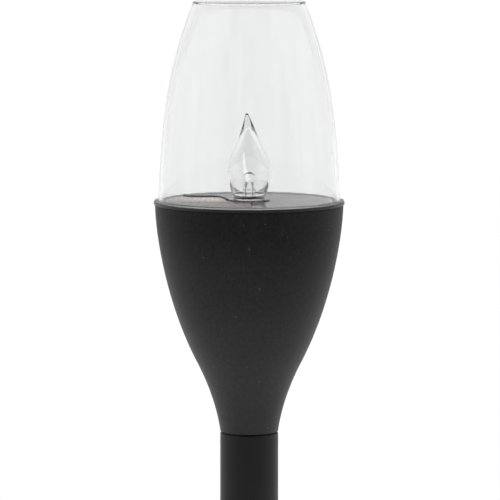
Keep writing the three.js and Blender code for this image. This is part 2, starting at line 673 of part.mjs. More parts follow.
function batteryDoor() {
  const [low, high] = [BAY_BOTTOM - GAP - DOOR_T, BAY_BOTTOM - GAP];
  const outY = BAY_HALF_Y + BAY_WALL - 0.2;
  const front = BAY_Y - outY;
  const panel = plate(roundedRectangle(-28.4, 28.4, front, BAY_Y + outY, 4), low, high);
  const rim = cut(
    plate(bayOutline(-0.45, 2.4), high - 0.2, high + 1.5),
    plate(bayOutline(-1.45, 1.6), high - 1, high + 2),
  );
  const knuckle = rodX(KNUCKLE_R, -9.1, 9.1, HINGE_Y, HINGE_Z);
  const web = box(-9.1, 9.1, BAY_Y + outY - 1, HINGE_Y, low, high);
  const fingerLip = plate(roundedRectangle(-7, 7, front - 2.2, front + 2, 1.2), low, high - 0.3);
  const hole = rodX(HINGE_PIN_R + GAP, -10, 10, HINGE_Y, HINGE_Z);
  return cut(join(panel, rim, knuckle, web, fingerLip), hole);
}

add(head, 'door_hinge_pin', rodX(HINGE_PIN_R, -12.8, 12.8, HINGE_Y, HINGE_Z), steel);
add(head, 'battery_door', batteryDoor(), blackPlastic);
add(head, 'switch_slider', switchSlider(), whitePlastic);

export default torch;
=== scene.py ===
"""Looks of the solar garden torch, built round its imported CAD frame. Blender units are metres, +Z up."""
import math

import bmesh
import bpy
from mathutils import Euler, Matrix, Vector

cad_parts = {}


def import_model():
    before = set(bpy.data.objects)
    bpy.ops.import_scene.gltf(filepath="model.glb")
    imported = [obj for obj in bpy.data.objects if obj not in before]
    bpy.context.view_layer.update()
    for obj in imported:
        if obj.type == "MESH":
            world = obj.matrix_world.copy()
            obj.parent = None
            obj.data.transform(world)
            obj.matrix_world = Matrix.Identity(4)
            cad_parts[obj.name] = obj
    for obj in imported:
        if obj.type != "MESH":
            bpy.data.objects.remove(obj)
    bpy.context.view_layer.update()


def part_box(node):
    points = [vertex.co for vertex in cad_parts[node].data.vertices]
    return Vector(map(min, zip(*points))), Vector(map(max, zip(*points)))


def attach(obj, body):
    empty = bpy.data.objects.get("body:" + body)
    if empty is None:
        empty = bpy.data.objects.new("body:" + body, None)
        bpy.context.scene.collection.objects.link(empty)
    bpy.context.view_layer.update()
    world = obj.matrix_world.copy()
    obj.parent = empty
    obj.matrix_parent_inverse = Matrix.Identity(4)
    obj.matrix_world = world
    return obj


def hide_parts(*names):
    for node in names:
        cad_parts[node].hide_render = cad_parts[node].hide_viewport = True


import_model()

MM = 0.001
FILLET_STEPS = 4                             # points on each rounded corner of a turned outline
CORNER_STEPS = 8                             # and on each round corner of a plate
SHARP_EDGE, BEVELLED_EDGE = math.radians(32), math.radians(35)   # angles between neighbouring faces
TURN_X = Matrix.Rotation(math.radians(90), 4, "Y")   # from +Z to +X
GAP = 0.3                                    # mm, clearance between neighbouring pieces in the frame
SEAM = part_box("upper_pole")[1][2] / MM + GAP  # mm, lower edge of the cup: head heights count from it


# ---- Outlines, in millimetres ---------------------------------------------------------------

def bezier(start, out, into, end, count):
    """Points of a cubic curve in the (radius, height) plane, both ends included."""
    points = []
    for i in range(count + 1):
        t = i / count
        u = 1 - t
        weights = (u ** 3, 3 * u * u * t, 3 * u * t * t, t ** 3)
        points.append(tuple(sum(w * p[k] for w, p in zip(weights, (start, out, into, end))) for k in (0, 1)))
    return points


def offset(points, distance):
    """The same line moved sideways, to the left of its direction of travel."""
    moved = []
    for i, point in enumerate(points):
        before, after = points[max(i - 1, 0)], points[min(i + 1, len(points) - 1)]
        along = Vector((after[0] - before[0], after[1] - before[1])).normalized()
        moved.append((point[0] - along.y * distance, point[1] + along.x * distance))
    return moved


def on_circle(x, y, radius, *degrees):
    """Points on a circle about (x, y)."""
    return [(x + radius * math.cos(a), y + radius * math.sin(a)) for a in map(math.radians, degrees)]


def rounded(corners):
    """Closed outline from (r, z) points and (r, z, fillet) corners. Each fillet gets a curve with a support
    point on both sides, which keeps smooth shading off the flats."""
    outline = []
    for i, corner in enumerate(corners):
        if len(corner) == 2:
            outline.append(corner)
            continue
        here = Vector(corner[:2])
        back = Vector(corners[i - 1][:2]) - here
        ahead = Vector(corners[(i + 1) % len(corners)][:2]) - here
        reach = min(corner[2], back.length * 0.45, ahead.length * 0.45)
        back.normalize()
        ahead.normalize()
        outline.append(tuple(here + back * reach * 1.08))
        for k in range(FILLET_STEPS + 1):
            t = k / FILLET_STEPS
            outline.append(tuple(here + back * reach * (1 - t) ** 2 + ahead * reach * t ** 2))
        outline.append(tuple(here + ahead * reach * 1.08))
    return outline


# ---- Meshes ---------------------------------------------------------------------------------

def new_object(name, verts, faces):
    """Smooth-shaded object from vertices in mm, with doubles merged and faces turned outward."""
    mesh = bpy.data.meshes.new(name)
    mesh.from_pydata([tuple(c * MM for c in v) for v in verts], [], faces)
    obj = bpy.data.objects.new(name, mesh)
    bpy.context.scene.collection.objects.link(obj)
    tidy = bmesh.new()
    tidy.from_mesh(mesh)
    bmesh.ops.remove_doubles(tidy, verts=tidy.verts, dist=1e-7)
    bmesh.ops.recalc_face_normals(tidy, faces=tidy.faces)
    for face in tidy.faces:
        face.smooth = True
    tidy.to_mesh(mesh)
    tidy.free()
    return obj


def turned(name, outline, sides=128, base=0.0, shape=None):
    """Solid of revolution about Z from a closed outline of (r, z). Points on the axis become one vertex.
    shape(x, y, z, angle, r) may move each vertex."""
    verts, rings = [], []
    for r, z in outline:
        if r < 1e-6:
            rings.append([len(verts)] * sides)
            x, y, z2 = shape(0, 0, z, 0, 0) if shape else (0, 0, z)
            verts.append((x, y, z2 + base))
            continue
        ring = []
        for s in range(sides):
            angle = 2 * math.pi * s / sides
            point = (r * math.cos(angle), r * math.sin(angle), z)
            if shape:
                point = shape(*point, angle, r)
            ring.append(len(verts))
            verts.append((point[0], point[1], point[2] + base))
        rings.append(ring)
    faces = []
    for i, ring in enumerate(rings):
        following = rings[(i + 1) % len(rings)]
        for s in range(sides):
            corner = (ring[s], ring[(s + 1) % sides], following[(s + 1) % sides], following[s])
            loop = list(dict.fromkeys(corner))
            if len(loop) > 2:
                faces.append(loop)
    return new_object(name, verts, faces)


def block(name, low, high, bevel=0.0, base=0.0):
    """Box between two corners with rounded edges."""
    (x0, y0, z0), (x1, y1, z1) = low, high
    verts = [(x, y, z + base) for z in (z0, z1) for y in (y0, y1) for x in (x0, x1)]
    faces = [(0, 2, 3, 1), (4, 5, 7, 6), (0, 1, 5, 4), (2, 6, 7, 3), (0, 4, 6, 2), (1, 3, 7, 5)]
    obj = new_object(name, verts, faces)
    soften(obj, bevel, 3)
    return obj


def rounded_plate(name, x0, x1, y0, y1, z0, z1, radius, bevel=0.0, base=0.0):
    """Flat plate with round corners in plan."""
    centres = ((x1 - radius, y1 - radius, 0), (x0 + radius, y1 - radius, 90),
               (x0 + radius, y0 + radius, 180), (x1 - radius, y0 + radius, 270))
    outline = []
    for cx, cy, first in centres:
        for k in range(CORNER_STEPS + 1):
            angle = math.radians(first + 90 * k / CORNER_STEPS)
            outline.append((cx + radius * math.cos(angle), cy + radius * math.sin(angle)))
    return extruded(name, outline, z0 + base, z1 + base, bevel)


def extruded(name, outline, z0, z1, bevel=0.0):
    """Solid between two heights from a closed outline of (x, y)."""
    count = len(outline)
    verts = [(x, y, z) for z in (z0, z1) for x, y in outline]
    faces = [tuple(range(count))[::-1], tuple(range(count, 2 * count))]
    faces += [(i, (i + 1) % count, count + (i + 1) % count, count + i) for i in range(count)]
    obj = new_object(name, verts, faces)
    soften(obj, bevel, 2)
    return obj


def apply_modifiers(obj):
    """Puts the result of an object's modifiers into its mesh."""
    bpy.context.view_layer.update()
    graph = bpy.context.evaluated_depsgraph_get()
    mesh = bpy.data.meshes.new_from_object(obj.evaluated_get(graph))
    obj.modifiers.clear()
    old = obj.data
    obj.data = mesh
    bpy.data.meshes.remove(old)


def crease(obj):
    """Smooth shading with hard lines at the sharp edges."""
    for polygon in obj.data.polygons:
        polygon.use_smooth = True
    obj.data.set_sharp_from_angle(angle=SHARP_EDGE)


def soften(obj, width, segments):
    """Rounds the sharp edges by a width in mm."""
    if width:
        bevel = obj.modifiers.new("edges", "BEVEL")
        bevel.width = width * MM
        bevel.segments = segments
        bevel.limit_method = "ANGLE"
        bevel.angle_limit = BEVELLED_EDGE
        bevel.harden_normals = False
        apply_modifiers(obj)
    crease(obj)


def combine(target, tools, operation):
    """Boolean of one object with each tool, which is used up."""
    for tool in tools:
        step = target.modifiers.new("join", "BOOLEAN")
        step.operation = operation
        step.solver = "EXACT"
        step.object = tool
        apply_modifiers(target)
        bpy.data.objects.remove(tool)
    crease(target)
    return target


def placed(obj, degrees=(0, 0, 0), move=(0, 0, 0)):
    """Turns a piece about the origin, then moves it in mm, in its mesh."""
    turn = Euler([math.radians(d) for d in degrees]).to_matrix().to_4x4()
    obj.data.transform(Matrix.Translation(Vector(move) * MM) @ turn)
    return obj


def wire(name, points, radius, sides=12, steps=10):
    """Round wire along a smooth curve through points in mm, closed at both ends."""
    line = bpy.data.curves.new(name, "CURVE")
    line.dimensions = "3D"
    line.bevel_depth = radius * MM
    line.bevel_resolution = max(1, sides // 4)
    line.use_fill_caps = True
    line.resolution_u = steps
    spline = line.splines.new("BEZIER")
    spline.bezier_points.add(len(points) - 1)
    for knot, point in zip(spline.bezier_points, points):
        knot.co = Vector(point) * MM
        knot.handle_left_type = knot.handle_right_type = "AUTO"
    tube = bpy.data.objects.new(name + "_line", line)
    bpy.context.scene.collection.objects.link(tube)
    bpy.context.view_layer.update()
    mesh = bpy.data.meshes.new_from_object(tube.evaluated_get(bpy.context.evaluated_depsgraph_get()))
    bpy.data.objects.remove(tube)
    obj = bpy.data.objects.new(name, mesh)
    bpy.context.scene.collection.objects.link(obj)
    crease(obj)
    return obj


def smooth_line(points):
    """The same line with curves through its corners."""
    line, steps = [], 6
    for i in range(len(points) - 1):
        before, start = Vector(points[max(i - 1, 0)]), Vector(points[i])
        end, after = Vector(points[i + 1]), Vector(points[min(i + 2, len(points) - 1)])
        for k in range(steps):
            t = k / steps
            place = 0.5 * (2 * start + (end - before) * t + (2 * before - 5 * start + 4 * end - after) * t * t
                           + (3 * start - before - 3 * end + after) * t ** 3)
            line.append(tuple(place))
    return line + [tuple(points[-1])]


def add_to(target, piece, material=None):
    """Joins a piece into another object, as surfaces of a further material if one is given."""
    both = bmesh.new()
    both.from_mesh(target.data)
    kept = len(both.faces)
    both.from_mesh(piece.data)
    if material:
        target.data.materials.append(material)
        both.faces.ensure_lookup_table()
        for face in both.faces[kept:]:
            face.material_index = len(target.data.materials) - 1
    both.to_mesh(target.data)
    both.free()
    bpy.data.objects.remove(piece)


def settle(obj, body, slot, material, *nodes):
    """Gives a finished piece its material and body, and hides the frame nodes that it stands for; slot is not
    used.
    """
    obj.data.materials.clear()
    obj.data.materials.append(material)
    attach(obj, body)
    if nodes:
        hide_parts(*nodes)
    return obj


# ---- Materials ------------------------------------------------------------------------------

def set_range(node, *limits):
    """Sets the limits that a Map Range node maps from and to."""
    for socket, number in zip(("From Min", "From Max", "To Min", "To Max"), limits):
        node.inputs[socket].default_value = number


class Shader:
    """A Principled material with short helpers for its procedural nodes."""

    def __init__(self, name, color, roughness, **sockets):
        self.material = bpy.data.materials.new(name)
        self.material.use_nodes = True
        self.nodes = self.material.node_tree.nodes
        self.links = self.material.node_tree.links
        self.surface = self.nodes["Principled BSDF"]
        self.place = self.nodes.new("ShaderNodeTexCoord").outputs["Object"]
        self.set("Base Color", (*color, 1))
        self.set("Roughness", roughness)
        for socket, value in sockets.items():
            self.set(socket.replace("_", " "), value)

    def set(self, socket, value):
        self.surface.inputs[socket].default_value = value

    def along(self, axis):
        """One coordinate of the point on the surface, in metres."""
        node = self.nodes.new("ShaderNodeSeparateXYZ")
        self.links.new(self.place, node.inputs[0])
        return node.outputs[axis]

    def stretched(self, scale):
        """The surface's coordinates multiplied along each axis, so below 1 draws a pattern out."""
        node = self.nodes.new("ShaderNodeMapping")
        node.inputs["Scale"].default_value = scale
        self.links.new(self.place, node.inputs["Vector"])
        return node.outputs["Vector"]

    def noise(self, size_mm, detail=2.0, rough=0.5, place=None, distortion=0.0):
        node = self.nodes.new("ShaderNodeTexNoise")
        node.inputs["Scale"].default_value = 1 / (size_mm * MM)
        node.inputs["Detail"].default_value = detail
        node.inputs["Roughness"].default_value = rough
        node.inputs["Distortion"].default_value = distortion
        self.links.new(place or self.place, node.inputs["Vector"])
        return node.outputs["Fac"]

    def dots(self, spacing_mm, size_mm):
        """1 on small round dots, one in each cell, and 0 between them."""
        node = self.nodes.new("ShaderNodeTexVoronoi")
        node.inputs["Scale"].default_value = 1 / (spacing_mm * MM)
        self.links.new(self.place, node.inputs["Vector"])
        edge = size_mm / spacing_mm
        return self.spread(node.outputs["Distance"], edge * 0.5, edge, 1, 0)

    def spread(self, value, low, high, to_low, to_high):
        node = self.nodes.new("ShaderNodeMapRange")
        set_range(node, low, high, to_low, to_high)
        self.links.new(value, node.inputs["Value"])
        return node.outputs["Result"]

    def math(self, operation, first, second):
        node = self.nodes.new("ShaderNodeMath")
        node.operation = operation
        for socket, value in zip(node.inputs, (first, second)):
            if isinstance(value, (int, float)):
                socket.default_value = value
            else:
                self.links.new(value, socket)
        return node.outputs["Value"]

    def mix(self, amount, first, second):
        """Colour between two colours or sockets."""
        node = self.nodes.new("ShaderNodeMix")
        node.data_type = "RGBA"
        self.links.new(amount, node.inputs[0])
        for socket, value in ((node.inputs[6], first), (node.inputs[7], second)):
            if isinstance(value, tuple):
                socket.default_value = (*value, 1)
            else:
                self.links.new(value, socket)
        return node.outputs[2]

    def total(self, first, share, second, other_share):
        """Sum of two values, each times its share."""
        parts = self.math("MULTIPLY", first, share), self.math("MULTIPLY", second, other_share)
        return self.math("ADD", *parts)

    def color(self, socket):
        self.links.new(socket, self.surface.inputs["Base Color"])

    def roughness(self, value, low, high, from_low=0.3, from_high=0.7):
        self.links.new(self.spread(value, from_low, from_high, low, high), self.surface.inputs["Roughness"])

    def bump(self, heights, depth_mm, strength=1.0):
        node = self.nodes.new("ShaderNodeBump")
        node.inputs["Distance"].default_value = depth_mm * MM
        node.inputs["Strength"].default_value = strength
        self.links.new(heights, node.inputs["Height"])
        self.links.new(node.outputs["Normal"], self.surface.inputs["Normal"])


def moulded_black(name, low, high, roughness, grain_mm, depth_mm, gloss=0.2, flecks=True, gloss_heights=None):
    """Spark-eroded black moulding: fine grain, cloudy tone, faint scuffs and a few pale dust flecks.
    The last argument gives two heights in mm: shinier below the first, duller above the second."""
    shader = Shader(name, low, roughness, IOR=1.49, Specular_IOR_Level=gloss)
    cloud = shader.noise(28, 3, 0.55)
    grain = shader.noise(grain_mm, 2, 0.6)
    scuff = shader.noise(2.2, 4, 0.6, shader.stretched((1, 1, 0.18)), 0.6)
    blotch = shader.noise(1.6, 3, 0.6)
    tone = shader.total(cloud, 0.4, blotch, 0.6)
    color = shader.mix(shader.spread(tone, 0.35, 0.65, 0, 1), low, high)
    color = shader.mix(shader.spread(scuff, 0.6, 0.78, 0, 0.5), color, tuple(c * 2.2 for c in high))
    if flecks:
        chosen = shader.spread(shader.noise(9, 0, 0.5), 0.46, 0.5, 0, 1)
        amount = shader.math("MULTIPLY", shader.dots(5, 0.42), chosen)
        color = shader.mix(shader.math("MULTIPLY", amount, 0.22), color, (0.24, 0.24, 0.23))
    shader.color(color)
    shader.roughness(shader.total(grain, 0.6, scuff, 0.4), roughness - 0.05, roughness + 0.07)
    shader.bump(grain, depth_mm, 0.6)
    if gloss_heights:
        shine = shader.spread(shader.along("Z"), gloss_heights[0] * MM, gloss_heights[1] * MM, gloss * 2.1, gloss * 0.7)
        shader.links.new(shine, shader.surface.inputs["Specular IOR Level"])
    return shader.material


def clear_moulding(name, ior, haze=0.02, wave_mm=14.0, wave_depth=0.01, tint=(0.95, 0.955, 0.955),
                   satin_below=None):
    """Clear plastic with upright flow streaks, a slow moulding wave and a faintly uneven polish.
    satin_below gives a height in mm below which it is matt and smoky."""
    shader = Shader(name, (0.97, 0.975, 0.975), haze, IOR=ior)
    shader.set("Transmission Weight", 1.0)
    wave = shader.noise(wave_mm, 1, 0.4)
    smear = shader.noise(5, 3, 0.6, shader.stretched((1, 1, 0.35)))
    streak = shader.noise(6, 2, 0.5, shader.stretched((1, 1, 0.05)))
    color = shader.mix(shader.spread(streak, 0.3, 0.7, 0, 1), tint, tuple(c + 0.03 for c in tint))
    polish = shader.spread(smear, 0.3, 0.7, haze * 0.4, haze * 1.6)
    if satin_below:
        matt = shader.spread(shader.along("Z"), (satin_below - 0.4) * MM, satin_below * MM, 1, 0)
        polish = shader.math("ADD", polish, shader.math("MULTIPLY", matt, 0.45))
        color = shader.mix(matt, color, (0.48, 0.48, 0.48))
    shader.color(color)
    shader.links.new(polish, shader.surface.inputs["Roughness"])
    shader.bump(wave, wave_depth, 0.5)
    return shader.material


def ruled(shader, pitch_mm, direction):
    """Fine parallel lines, 1 on each line."""
    wave = shader.nodes.new("ShaderNodeTexWave")
    wave.bands_direction = direction
    wave.inputs["Scale"].default_value = 1 / (pitch_mm * MM) / 20 * math.pi
    shader.links.new(shader.place, wave.inputs["Vector"])
    return shader.spread(wave.outputs["Fac"], 0.8, 0.98, 0, 1)


def panel_resin():
    """Clear potting of the solar panel, its surface drawn with fine lines along X."""
    shader = Shader("panel_resin", (0.96, 0.95, 0.94), 0.12, IOR=1.18, Specular_IOR_Level=0.3)
    shader.set("Transmission Weight", 1.0)
    lines = ruled(shader, 2.3, "Y")
    smear = shader.noise(4, 3, 0.6, shader.stretched((0.2, 1, 1)))
    shader.roughness(shader.total(lines, 0.5, smear, 0.7), 0.08, 0.24, 0.2, 0.9)
    shader.bump(shader.math("ADD", lines, smear), 0.04, 0.6)
    return shader.material


def cell_film():
    """Film over the front-left of the panel, with fine lines along Y; it turns pale toward its edge line, a
    painted reflection.
    """
    shader = Shader("film_painted_reflection", (0.6, 0.5, 0.47), 0.3, IOR=1.3, Specular_IOR_Level=0.25)
    lines = ruled(shader, 1.0, "X")
    cloud = shader.noise(6, 3, 0.6)
    # painted reflection: the film turns pale toward its edge line, rising along Y and along X
    painted_reflection = shader.math("MULTIPLY", shader.spread(shader.along("Y"), -9 * MM, 3 * MM, 0, 1),
                         shader.spread(shader.along("X"), -36 * MM, -20 * MM, 0.2, 1))
    tone = shader.mix(shader.spread(cloud, 0.35, 0.65, 0, 1), (0.22, 0.19, 0.175), (0.30, 0.26, 0.24))
    tone = shader.mix(painted_reflection, tone, (0.95, 0.86, 0.8))
    shader.color(shader.mix(shader.math("MULTIPLY", lines, 0.3), tone, (0.3, 0.25, 0.23)))
    shader.roughness(cloud, 0.22, 0.36)
    shader.bump(lines, 0.01, 0.4)
    return shader.material


def metal(name, color, roughness):
    """Bright plated steel with fine upright brushing and a cloudy tone."""
    shader = Shader(name, color, roughness, Metallic=1.0)
    brush = shader.noise(0.3, 3, 0.6, shader.stretched((1, 1, 0.05)))
    cloud = shader.noise(6, 2, 0.5)
    shader.color(shader.mix(shader.spread(cloud, 0.35, 0.65, 0, 1), tuple(c * 0.82 for c in color), color))
    shader.roughness(brush, roughness - 0.07, roughness + 0.1)
    shader.bump(brush, 0.004, 0.4)
    return shader.material


def soft_plain(name, low, high, roughness, grain_mm=0.5, depth_mm=0.01, **sockets):
    """Small moulded or dipped part: two close tones, fine grain and uneven gloss."""
    shader = Shader(name, low, roughness, **sockets)
    cloud = shader.noise(4, 3, 0.6)
    grain = shader.noise(grain_mm, 2, 0.5)
    shader.color(shader.mix(shader.spread(cloud, 0.35, 0.65, 0, 1), low, high))
    shader.roughness(grain, roughness - 0.06, roughness + 0.06)
    shader.bump(grain, depth_mm, 0.5)
    return shader.material


def pole_coat():
    """Satin powder coat on steel tube: orange peel and faint lengthwise rubs."""
    shader = Shader("pole_coat", (0.008, 0.008, 0.0085), 0.42, IOR=1.5, Specular_IOR_Level=0.22)
    peel = shader.noise(0.7, 2, 0.5)
    rub = shader.noise(1.2, 4, 0.6, shader.stretched((1, 1, 0.06)))
    cloud = shader.noise(35, 3, 0.5)
    tone = shader.mix(shader.spread(cloud, 0.35, 0.65, 0, 1), (0.0065, 0.0065, 0.007), (0.0095, 0.0095, 0.01))
    shader.color(shader.mix(shader.spread(rub, 0.64, 0.8, 0, 0.3), tone, (0.03, 0.03, 0.03)))
    shader.roughness(rub, 0.38, 0.5)
    shader.bump(peel, 0.02, 0.5)
    return shader.material


def solar_silicon(name, base, sheen):
    """Thin-film cell: dark brown film with fine collector lines along X and patches of film colour."""
    shader = Shader(name, base, 0.3, IOR=1.6)
    lines = ruled(shader, 1.1, "Y")
    patches = shader.noise(9, 3, 0.6)
    film = shader.mix(shader.spread(patches, 0.35, 0.65, 0, 1), base, sheen)
    shader.color(shader.mix(shader.math("MULTIPLY", lines, 0.6), film, (0.34, 0.33, 0.32)))
    shader.roughness(patches, 0.24, 0.36)
    shader.bump(lines, 0.01, 0.4)
    return shader.material


def circuit_green():
    """Solder mask with copper tracks showing through as paler lines."""
    shader = Shader("circuit_green", (0.012, 0.07, 0.025), 0.35, IOR=1.5)
    tracks = shader.nodes.new("ShaderNodeTexBrick")
    tracks.inputs["Scale"].default_value = 1 / (6 * MM)
    tracks.inputs["Mortar Size"].default_value = 0.05
    tracks.inputs["Color1"].default_value = (0, 0, 0, 1)
    tracks.inputs["Color2"].default_value = (0, 0, 0, 1)
    tracks.inputs["Mortar"].default_value = (1, 1, 1, 1)
    shader.links.new(shader.place, tracks.inputs["Vector"])
    weave = shader.noise(0.4, 2, 0.5)
    shader.color(shader.mix(tracks.outputs["Color"], (0.012, 0.07, 0.025), (0.03, 0.13, 0.045)))
    shader.roughness(weave, 0.3, 0.42)
    shader.bump(tracks.outputs["Color"], 0.02, 0.5)
    return shader.material


BLACK = moulded_black("cup_black", (0.0036, 0.0036, 0.0038), (0.0125, 0.012, 0.012), 0.5, 0.6, 0.05,
                      gloss_heights=(SEAM + 20, SEAM + 90))
RIM_BLACK = moulded_black("rim_black", (0.005, 0.005, 0.0052), (0.007, 0.007, 0.007), 0.34, 0.3, 0.015,
                          0.35, False)
SPIKE_BLACK = moulded_black("spike_black", (0.010, 0.010, 0.0105), (0.018, 0.0175, 0.0175), 0.55, 0.5, 0.03,
                            0.4)
COAT = pole_coat()
CLEAR = clear_moulding("shade_clear", 1.3, tint=(0.895, 0.9, 0.9), satin_below=SEAM + 101.7)
LENS_CLEAR = clear_moulding("lens_clear", 1.53, 0.02, 5.0, 0.012, tint=(0.97, 0.97, 0.97),
                            satin_below=SEAM + 102.0)
COVER_CLEAR = panel_resin()
PAINTED_REFLECTION_FILM = cell_film()
LAMP_CLEAR = clear_moulding("lamp_epoxy", 1.12, 0.06, 2.0, 0.004)
RUBBER = soft_plain("seal_rubber", (0.008, 0.008, 0.008), (0.014, 0.014, 0.014), 0.7, 0.25, 0.01)
ZINC = metal("zinc_steel", (0.62, 0.63, 0.64), 0.3)
TINNED = soft_plain("tinned_copper", (0.94, 0.88, 0.85), (0.97, 0.93, 0.9), 0.4, Transmission_Weight=0.6,
                    IOR=1.1)
CELL = solar_silicon("cell_film", (0.030, 0.018, 0.018), (0.06, 0.035, 0.03))
PCB = circuit_green()
PANEL_BOARD = soft_plain("panel_board", (0.012, 0.012, 0.013), (0.02, 0.019, 0.019), 0.45)
CHIP = soft_plain("chip_epoxy", (0.010, 0.010, 0.011), (0.016, 0.016, 0.017), 0.5, 0.15, 0.01)
DIPPED = soft_plain("dipped_body", (0.30, 0.13, 0.035), (0.38, 0.17, 0.05), 0.35)
RED = soft_plain("red_insulation", (0.32, 0.012, 0.01), (0.42, 0.02, 0.015), 0.4)
DARK = soft_plain("black_insulation", (0.01, 0.01, 0.01), (0.018, 0.018, 0.018), 0.4)
WRAP = soft_plain("battery_film", (0.03, 0.14, 0.22), (0.04, 0.18, 0.27), 0.28, 1.2, 0.01)
WHITE = soft_plain("slider_white", (0.66, 0.66, 0.62), (0.74, 0.74, 0.71), 0.45)


# ---- Ground spike, poles and coupler --------------------------------------------------------

TUBE_R, TUBE_WALL = 12.7, 1.2
SPIGOT_R, SPIGOT_IN = 11.2, 9.0              # of the push-fits inside the tubes
STEP_R, STEP_T = 30, 4                       # step flange of the spike


def ground_spike():
    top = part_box("ground_spike")[1][2] / MM
    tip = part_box("ground_spike")[0][2] / MM
    spike = turned("spike", rounded([
        (0, 0), (STEP_R, 0, 0.8), (STEP_R, STEP_T, 1.4), (SPIGOT_R, STEP_T, 0.8), (SPIGOT_R, top - 1.5, 0.5),
        (SPIGOT_R - 1, top, 0.4), (SPIGOT_IN, top, 0.4), (SPIGOT_IN, STEP_T, 0.8), (0, STEP_T)]))
    fins = []
    for turn in (0, 90):
        outline = [(-17, 1.5), (-17, -19), (-16.6, -22.5), (-0.75, tip),
                   (0.75, tip), (16.6, -22.5), (17, -19), (17, 1.5)]
        fin = extruded("fin", outline, -1.5, 1.5, 0.5)
        fins.append(placed(placed(fin, (90, 0, 0)), (0, 0, turn)))
    return settle(combine(spike, fins, "UNION"), "spike", "black_plastic", SPIKE_BLACK, "ground_spike")


def pole(node, body):
    low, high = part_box(node)[0][2] / MM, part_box(node)[1][2] / MM - GAP
    inner = TUBE_R - TUBE_WALL
    tube = turned(node + "_tube", rounded([
        (TUBE_R, low, 0.45), (TUBE_R, high, 0.45), (inner, high, 0.3), (inner, low, 0.3)]))
    return settle(tube, body, "pole_coating", COAT, node)


def coupler():
    low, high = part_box("pole_coupler")[0][2] / MM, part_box("pole_coupler")[1][2] / MM
    collar_low, collar_high = low + 30, high - 30
    piece = turned("coupler", rounded([
        (SPIGOT_IN, low, 0.5), (SPIGOT_R - 1, low, 0.4), (SPIGOT_R, low + 1.5, 0.5),
        (SPIGOT_R, collar_low, 0.2), (TUBE_R, collar_low, 0.4), (TUBE_R, collar_high, 0.4),
        (SPIGOT_R, collar_high, 0.2), (SPIGOT_R, high - 1.5, 0.5), (SPIGOT_R - 1, high, 0.4),
        (SPIGOT_IN, high, 0.5)]))
    return settle(piece, "coupler", "black_plastic", SPIKE_BLACK, "pole_coupler")


# ---- Cup ------------------------------------------------------------------------------------

CUP_H, CUP_R, CUP_WALL = 99.5, 41.0, 2.2
CUP_SPIGOT = -33                             # lower end of its spigot
# The cup's outside, as control points of two curves: (radius, height above the seam)
STEM = ((12.65, 0), (12.75, 1), (14.25, 14), (22.6, 30.1))
BOWL = ((22.6, 30.1), (37.25, 58.3), (40.9, 89.3), (CUP_R, CUP_H))


def cup():
    stem, bowl = bezier(*STEM, 24), bezier(*BOWL, 40)
    skin = stem + bowl[1:]
    inside = offset(skin, CUP_WALL)[2:]
    inside[-1] = (CUP_R - CUP_WALL, CUP_H)
    outside = [(r, z) for r, z in skin if z < CUP_H - 1.2]
    inside_low = [(r, z) for r, z in inside if 2 < z < CUP_H - 1.2][::-1]
    piece = turned("cup_shell", rounded([
        (SPIGOT_IN, CUP_SPIGOT, 0.5), (SPIGOT_R - 1, CUP_SPIGOT, 0.4), (SPIGOT_R, CUP_SPIGOT + 1.5, 0.4),
        (SPIGOT_R, 0, 0.15), (12.5, 0, 0.25), *outside[1:], (CUP_R, CUP_H, 0.35),
        (CUP_R - CUP_WALL, CUP_H, 0.5), *inside_low, (SPIGOT_IN, 1, 1.5)]), 192, SEAM)
    return settle(piece, "head", "black_plastic", BLACK, "cup")


# ---- Light module: housings and seals -------------------------------------------------------

SKIRT_R, SKIRT_WALL, SKIRT_LOW = 35.7, 1.8, 84.0
DECK_R, DECK_FLOOR, DECK_TOP, DECK_T = 36.9, 98.2, 101.2, 1.6    # the tray that holds the panel
DECK_EDGE_R = 37.4                           # raised edge round the panel
SHOULDER_R, SHOULDER_LOW = 38.3, 96          # centres the deck in the cup
SEAL_LIP_R, SEAL_LIP_TOP = 37.4, 93.3        # holds up the seal ring
RIM_R, RIM_SEAT, RIM_TOP = 41.5, 99.55, 100.85   # the rim rests on the cup
LENS_HOLE_R = 6.3
WIRE_WAY = (9, 14)                           # where the panel's leads go down through the deck
BASE_LOW, BASE_TOP = 73.8, 82.6
BAY_Y, BAY_X_HALF, BAY_Y_HALF, BAY_WALL, BAY_LOW, BAY_TOP = -6.0, 27.5, 7.9, 1.3, 71.8, 88.4
HOLE_LOW = BASE_LOW - 1                      # where cuts into the base from below start
SCREW_PLACES = on_circle(0, 0, 29.5, 90, 228, 312)
POST_PLACES = [(-18, 12.5), (18, 12.5)]
SWITCH_Y = 12.7
HINGE_Y, HINGE_Z, PIN_WAY_R = 5.6, 71.3, 1.1


def rod(name, radius, low, high, x=0.0, y=0.0, sides=32):
    """Upright rod, its ends at heights above the seam."""
    piece = turned(name, [(0, low), (radius, low), (radius, high), (0, high)], sides, SEAM)
    return placed(piece, move=(x, y, 0))


def rod_x(name, radius, x0, x1, y, z, sides=40, edge=0.2):
    """Rod along X with rounded ends, at a height above the seam."""
    piece = turned(name, rounded([(0, x0), (radius, x0, edge), (radius, x1, edge), (0, x1)]), sides)
    return placed(piece, (0, 90, 0), (0, y, z + SEAM))


